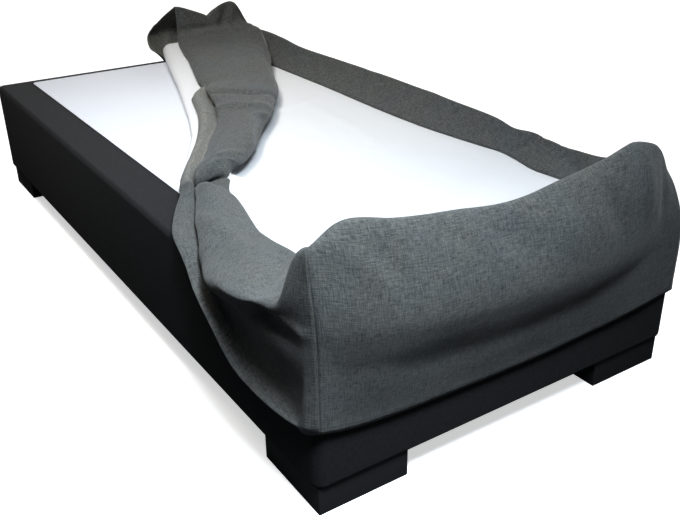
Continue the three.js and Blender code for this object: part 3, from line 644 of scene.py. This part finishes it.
def makeWeaveGroup():  # woven cloth: uneven threads both ways, and the over-and-under of a plain weave
    desk, given, out = newGroup("wovenThreads", [("Vector", "NodeSocketVector", None),
                                                 ("Thread", "NodeSocketFloat", 0.0014),
                                                 ("Slub", "NodeSocketFloat", 0.5)],
                                [("Shade", "NodeSocketFloat"), ("Height", "NodeSocketFloat")])
    flat = given.outputs["Vector"]
    fineWarp = desk.stretchedNoise(flat, 0.0013, 0.013)
    fineWeft = desk.stretchedNoise(flat, 0.013, 0.0013)
    thickWarp = desk.stretchedNoise(flat, 0.0026, 0.035)
    thickWeft = desk.stretchedNoise(flat, 0.035, 0.0026)
    fine = desk.math("ADD", fineWarp, fineWeft)
    thick = desk.math("MULTIPLY", desk.math("ADD", thickWarp, thickWeft), given.outputs["Slub"])
    total = desk.math("ADD", fine, thick)
    centre = desk.math("ADD", 1.0, given.outputs["Slub"])
    shade = desk.spread(desk.math("SUBTRACT", total, centre), -0.36, 0.36)
    parts = desk.add("ShaderNodeSeparateXYZ")
    desk.link(flat, parts.inputs["Vector"])
    threads = [desk.math("DIVIDE", parts.outputs[k], given.outputs["Thread"]) for k in (0, 1)]
    waves = [desk.math("SINE", desk.math("MULTIPLY", thread, math.pi)) for thread in threads]
    over = desk.math("GREATER_THAN", desk.math("MULTIPLY", *waves), 0.0)
    under = desk.math("SUBTRACT", 1.0, over)
    ridges = [desk.math("ABSOLUTE", wave) for wave in waves]
    weave = desk.math("ADD", desk.math("MULTIPLY", ridges[0], over), desk.math("MULTIPLY", ridges[1], under))
    desk.link(shade, out.inputs["Shade"])
    desk.link(desk.math("ADD", desk.math("MULTIPLY", weave, 0.5), shade), out.inputs["Height"])
    return desk.tree


weaveGroup = makeWeaveGroup()

linen = {"thread": 0.0014, "slub": 0.6, "bump": 0.35, "bumpHeight": 0.0007, "roughness": 0.9, "sheen": 0.12,
         "facePair": ((0.038, 0.042, 0.045), (0.132, 0.135, 0.129)),
         "reversePair": ((0.080, 0.083, 0.076), (0.230, 0.230, 0.212)),
         "oliveTint": (1.02, 1.0, 0.97), "blueTint": (0.98, 1.0, 1.03), "tintSize": 0.12}


def wovenMaterial(name, pair, cloth, uvName="weave"):
    material = newMaterial(name, pair[1], cloth["roughness"])
    shader = material.node_tree.nodes["Principled BSDF"]
    desk = NodeDesk(material.node_tree)
    uv = desk.add("ShaderNodeUVMap", uv_map=uvName)
    weave = desk.add("ShaderNodeGroup", node_tree=weaveGroup)
    weave.inputs["Thread"].default_value = cloth["thread"]
    weave.inputs["Slub"].default_value = cloth["slub"]
    desk.link(uv.outputs["UV"], weave.inputs["Vector"])
    threads = desk.mixColor(weave.outputs["Shade"], pair[0], pair[1])
    if "tintSize" in cloth:
        cloud = desk.stretchedNoise(uv.outputs["UV"], cloth["tintSize"], cloth["tintSize"])
        patches = desk.spread(cloud, 0.35, 0.65)
        tint = desk.mixColor(patches, cloth["oliveTint"], cloth["blueTint"])
        threads = desk.mixColor(1.0, threads, tint, "MULTIPLY")
    desk.link(threads, shader.inputs["Base Color"])
    bump = desk.add("ShaderNodeBump")
    bump.inputs["Strength"].default_value = cloth["bump"]
    bump.inputs["Distance"].default_value = cloth["bumpHeight"]
    desk.link(weave.outputs["Height"], bump.inputs["Height"])
    desk.link(bump.outputs["Normal"], shader.inputs["Normal"])
    shader.inputs["Sheen Weight"].default_value = cloth["sheen"]
    shader.inputs["Sheen Roughness"].default_value = 0.5
    shader.inputs["Specular IOR Level"].default_value = 0.2
    return material


cotton = {"thread": 0.0005, "slub": 0.3, "bump": 0.12, "bumpHeight": 0.0003, "roughness": 0.9, "sheen": 0.1,
          "pair": ((0.60, 0.61, 0.63), (0.64, 0.65, 0.67))}
platformWeave = {"thread": 0.0012, "slub": 0.2, "bump": 0.1, "bumpHeight": 0.0003, "roughness": 0.9,
                 "sheen": 0.05, "pair": ((0.60, 0.625, 0.68), (0.64, 0.665, 0.72))}
upholstery = {"thread": 0.0011, "slub": 0.4, "bump": 0.3, "bumpHeight": 0.0005, "roughness": 0.85,
              "sheen": 0.03, "pair": ((0.012, 0.012, 0.013), (0.026, 0.026, 0.028))}

greyFront = wovenMaterial("greyLinenFace", linen["facePair"], linen)
greyBack = wovenMaterial("greyLinenReverse", linen["reversePair"], linen)
whiteCotton = wovenMaterial("whiteCotton", cotton["pair"], cotton)
blackUpholstery = wovenMaterial("blackUpholstery", upholstery["pair"], upholstery)
platformCloth = wovenMaterial("platformCloth", platformWeave["pair"], platformWeave)
footPlastic = newMaterial("footPlastic", (0.018, 0.018, 0.019), 0.6)
print("materials made")

# ---- dress the cloth

for name, grid, cloth, front, back, node in (
        ("footPanel", footShape, footPanel, greyFront, greyBack, "cover_foot_panel"),
        ("leftPanel", leftShape, leftPanel, greyFront, greyBack, "cover_left_panel"),
        ("rightPanel", rightShape, rightPanel, greyFront, greyBack, "cover_right_panel"),
        ("headPanel", headShape, headPanel, greyFront, greyBack, "cover_head_panel"),
        ("whitePanel", whiteShape, whitePanel, whiteCotton, whiteCotton, "cover_top_panel")):
    piece = clothPiece(name, grid, cloth, front, back)
    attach(piece, "root")
    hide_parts(node)
print("cloth dressed")

# ---- sewing: lines of thread on the cloth's face

sewing = {"stitch": 3.4, "gap": 1.0, "radius": 0.45, "sink": 0.1, "fromHem": 12, "spanSteps": 12,
          "threadColor": (0.022, 0.026, 0.032)}


def hemLine(grid, inset):  # along the panel, a set way in from its hem
    u = arcLengths(grid)[0]
    line = []
    for row, lengths in zip(grid, u):
        line.append([np.interp(inset, lengths, row[:, k]) for k in range(3)])
    return np.array(line)


def seamLine(grid, inset):  # across the panel, a set way in from its first row
    away = np.linalg.norm(np.diff(grid, axis=0), axis=2).cumsum(0)
    away = np.concatenate([np.zeros((1, grid.shape[1])), away])
    columns = range(grid.shape[1])
    return np.array([[np.interp(inset, away[:, c], grid[:, c, k]) for k in range(3)] for c in columns])


def lineOver(grid, path):  # through a few places, over the cloth from one to the next
    away = [np.linalg.norm(grid - np.array(p), axis=2) for p in path]
    spots = np.array([np.unravel_index(np.argmin(a), a.shape) for a in away], float)
    line = []
    for row, column in smoothThrough(spots, [sewing["spanSteps"]] * (len(spots) - 1)):
        r = min(int(row), grid.shape[0] - 2)
        c = min(int(column), grid.shape[1] - 2)
        s, t = row - r, column - c
        line.append(grid[r, c] * (1 - s) * (1 - t) + grid[r + 1, c] * s * (1 - t)
                    + grid[r, c + 1] * (1 - s) * t + grid[r + 1, c + 1] * s * t)
    return np.array(line)


def faceNormals(line, grid, sign):
    normals = surfaceNormals(grid).reshape(-1, 3) * sign
    spots = grid.reshape(-1, 3)
    return np.array([normals[np.argmin(((spots - p) ** 2).sum(1))] for p in line])


def sewLine(bm, line, normals, lift):  # one short rounded thread after another
    lengths = np.concatenate([[0], np.linalg.norm(np.diff(line, axis=0), axis=1).cumsum()])
    starts = np.arange(sewing["gap"], lengths[-1] - sewing["stitch"], sewing["stitch"] + sewing["gap"])
    for start in starts:
        rings = []
        for share, thick, dip in ((0, 0.5, -0.5), (0.2, 1, 0), (0.8, 1, 0), (1, 0.5, -0.5)):
            at = start + share * sewing["stitch"]
            p = np.array([np.interp(at, lengths, line[:, k]) for k in range(3)])
            n = np.array([np.interp(at, lengths, normals[:, k]) for k in range(3)])
            n /= np.linalg.norm(n)
            q = np.array([np.interp(at + 0.5, lengths, line[:, k]) for k in range(3)])
            along = (q - p) / max(np.linalg.norm(q - p), 1e-6)
            side = np.cross(n, along)
            centre = p + n * (lift + dip * sewing["radius"] - sewing["sink"])
            rings.append([bm.verts.new(place(*(centre + thick * sewing["radius"] * (side * c + n * s))))
                          for c, s in ((1, 0), (0.5, 0.8), (-0.5, 0.8), (-1, 0), (0, -0.8))])
        for a, b in zip(rings, rings[1:]):
            for k in range(5):
                bm.faces.new((a[k], a[(k + 1) % 5], b[(k + 1) % 5], b[k]))
        bm.faces.new(rings[0][::-1])
        bm.faces.new(rings[-1])


def sewPanel(name, lines):  # lines of (places, normals, lift)
    bm = bmesh.new()
    for line, normals, lift in lines:
        sewLine(bm, line, normals, lift)
    bmesh.ops.recalc_face_normals(bm, faces=bm.faces)
    for face in bm.faces:
        face.smooth = True
    mesh = bpy.data.meshes.new(name)
    bm.to_mesh(mesh)
    bm.free()
    mesh.materials.append(threadMaterial)
    piece = bpy.data.objects.new(name, mesh)
    bpy.context.scene.collection.objects.link(piece)
    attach(piece, "root")


threadMaterial = newMaterial("sewingThread", sewing["threadColor"], 0.8)
threadMaterial.node_tree.nodes["Principled BSDF"].inputs["Sheen Weight"].default_value = 0.1


def panelLines(grid, cloth, sign):
    line = hemLine(grid, sewing["fromHem"])
    found = [(line, faceNormals(line, grid, sign), cloth["hemThickness"] / 2)]
    for side, inset in cloth.get("seamLines", []):
        line = seamLine(grid if side == "start" else grid[::-1], inset)
        found.append((line, faceNormals(line, grid, sign), cloth["thickness"] / 2))
    return found


sewPanel("footStitches", panelLines(footShape, footPanel, -1))
bandLine = lineOver(leftShape, bandSeam)
bandStitches = (bandLine, faceNormals(bandLine, leftShape, 1), leftPanel["thickness"] / 2)
sewPanel("leftStitches", panelLines(leftShape, leftPanel, 1) + [bandStitches])
sewPanel("rightStitches", panelLines(rightShape, rightPanel, -1))
print("sewing laid")

# ---- bed base

bedBase = {"bodyCorner": 22, "bodyEdge": 12, "topCorner": 14, "topEdge": 0.6, "footCorner": 2.5,
           "footEdge": 2}


def roundedBox(name, low, high, cornerRadius, edgeRadius, material):
    bm = bmesh.new()
    bmesh.ops.create_cube(bm, size=1)
    bmesh.ops.scale(bm, vec=high - low, verts=bm.verts)
    bmesh.ops.translate(bm, vec=(low + high) / 2, verts=bm.verts)
    upright = [e for e in bm.edges if abs((e.verts[0].co - e.verts[1].co).z) > 1e-5]
    bmesh.ops.bevel(bm, geom=upright, offset=cornerRadius * mm, offset_type="OFFSET", segments=8, profile=0.5,
                    affect="EDGES", material=-1)
    rims = [e for e in bm.edges if len(e.link_faces) == 2
            and sum(abs(f.normal.z) > 0.9 for f in e.link_faces) == 1]
    bmesh.ops.bevel(bm, geom=rims, offset=edgeRadius * mm, offset_type="OFFSET", segments=6, profile=0.5,
                    affect="EDGES", material=-1)
    uvLayer = bm.loops.layers.uv.new("weave")
    for face in bm.faces:
        face.smooth = True
        facing = max(range(3), key=lambda k: abs(face.normal[k]))
        first, second = ((1, 2), (0, 2), (0, 1))[facing]
        for loop in face.loops:
            loop[uvLayer].uv = (loop.vert.co[first], loop.vert.co[second])
    mesh = bpy.data.meshes.new(name)
    bm.to_mesh(mesh)
    bm.free()
    mesh.materials.append(material)
    piece = bpy.data.objects.new(name, mesh)
    bpy.context.scene.collection.objects.link(piece)
    return piece


baseBody = roundedBox("baseBody", *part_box("base_body"), bedBase["bodyCorner"], bedBase["bodyEdge"],
                      blackUpholstery)
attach(baseBody, "root")
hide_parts("base_body")
baseTop = roundedBox("baseTop", *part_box("base_top"), bedBase["topCorner"], bedBase["topEdge"], platformCloth)
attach(baseTop, "root")
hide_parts("base_top")
for node in ("foot_front_left", "foot_front_right", "foot_back_left", "foot_back_right"):
    foot = roundedBox(node + "_block", *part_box(node), bedBase["footCorner"], bedBase["footEdge"], footPlastic)
    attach(foot, "root")
    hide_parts(node)
print("bed base made")

# ---- floor and light

studio = {"floorSize": 160, "floorGlow": 0.5, "floorColor": (0.9, 0.9, 0.9),
          "floorBounce": (0.06, 0.06, 0.06), "fill": 0.07, "fillColor": (0.75, 0.88, 1),
          "backdrop": (0.86, 0.87, 0.88),
          "softboxes": {  # at, aim, size in m, power in W, spread in degrees, color
              "keyLight": ((-50, -1030, 2650), (-30, 140, 400), 0.9, 14.6, 56, (0.84, 0.925, 1)),
              "headLight": ((-300, 700, 2100), (600, 1600, 400), 0.6, 4.4, 70, (1, 0.975, 0.93))},
          "suns": {  # from where, strength, angle in degrees, color
              "topLight": ((-0.1, 0.05, 1), 0.95, 35, (1, 0.94, 0.85)),
              "backLight": ((0.8, 1, 0.14), 1.9, 50, (0.96, 0.98, 1))}}


def addFloor():
    bm = bmesh.new()
    bmesh.ops.create_grid(bm, x_segments=1, y_segments=1, size=studio["floorSize"] / 2)
    mesh = bpy.data.meshes.new("floor")
    bm.to_mesh(mesh)
    bm.free()
    paint = newMaterial("floorPaint", studio["floorColor"], 0.9)
    desk = NodeDesk(paint.node_tree)
    shader = paint.node_tree.nodes["Principled BSDF"]
    seen = desk.add("ShaderNodeLightPath").outputs["Is Camera Ray"]  # pale to the eye, dark to bounced light
    desk.link(desk.mixColor(seen, studio["floorBounce"], studio["floorColor"]), shader.inputs["Base Color"])
    shader.inputs["Emission Color"].default_value = (1, 1, 1, 1)
    desk.link(desk.math("MULTIPLY", seen, studio["floorGlow"]), shader.inputs["Emission Strength"])
    mesh.materials.append(paint)
    floor = bpy.data.objects.new("floor", mesh)
    bpy.context.scene.collection.objects.link(floor)


def addSun(name, fromDirection, strength, angle, color):
    data = bpy.data.lights.new(name, "SUN")
    data.color = color
    data.energy = strength
    data.angle = math.radians(angle)
    light = bpy.data.objects.new(name, data)
    light.rotation_euler = Vector(fromDirection).to_track_quat("Z", "Y").to_euler()
    bpy.context.scene.collection.objects.link(light)


def addSoftbox(name, at, aim, size, power, spread, color):
    data = bpy.data.lights.new(name, "AREA")
    data.shape = "DISK"
    data.size = size
    data.energy = power
    data.spread = math.radians(spread)
    data.color = color
    light = bpy.data.objects.new(name, data)
    light.location = place(*at)
    light.rotation_euler = (place(*at) - place(*aim)).to_track_quat("Z", "Y").to_euler()
    bpy.context.scene.collection.objects.link(light)


def addWorld():  # a weak fill for the cloth, and a pale backdrop that only the camera sees
    world = bpy.data.worlds.new("studio")
    world.use_nodes = True
    desk = NodeDesk(world.node_tree)
    fill = world.node_tree.nodes["Background"]
    fill.inputs["Color"].default_value = (*studio["fillColor"], 1)
    fill.inputs["Strength"].default_value = studio["fill"]
    backdrop = desk.add("ShaderNodeBackground")
    backdrop.inputs["Color"].default_value = (*studio["backdrop"], 1)
    mixed = desk.add("ShaderNodeMixShader")
    desk.link(desk.add("ShaderNodeLightPath").outputs["Is Camera Ray"], mixed.inputs[0])
    desk.link(fill.outputs[0], mixed.inputs[1])
    desk.link(backdrop.outputs[0], mixed.inputs[2])
    desk.link(mixed.outputs[0], world.node_tree.nodes["World Output"].inputs["Surface"])
    bpy.context.scene.world = world


addFloor()
for name, settings in studio["softboxes"].items():
    addSoftbox(name, *settings)
for name, settings in studio["suns"].items():
    addSun(name, *settings)
addWorld()
bpy.context.scene.view_settings.view_transform = "Standard"
bpy.context.scene.view_settings.look = "Medium High Contrast"
print("studio ready")
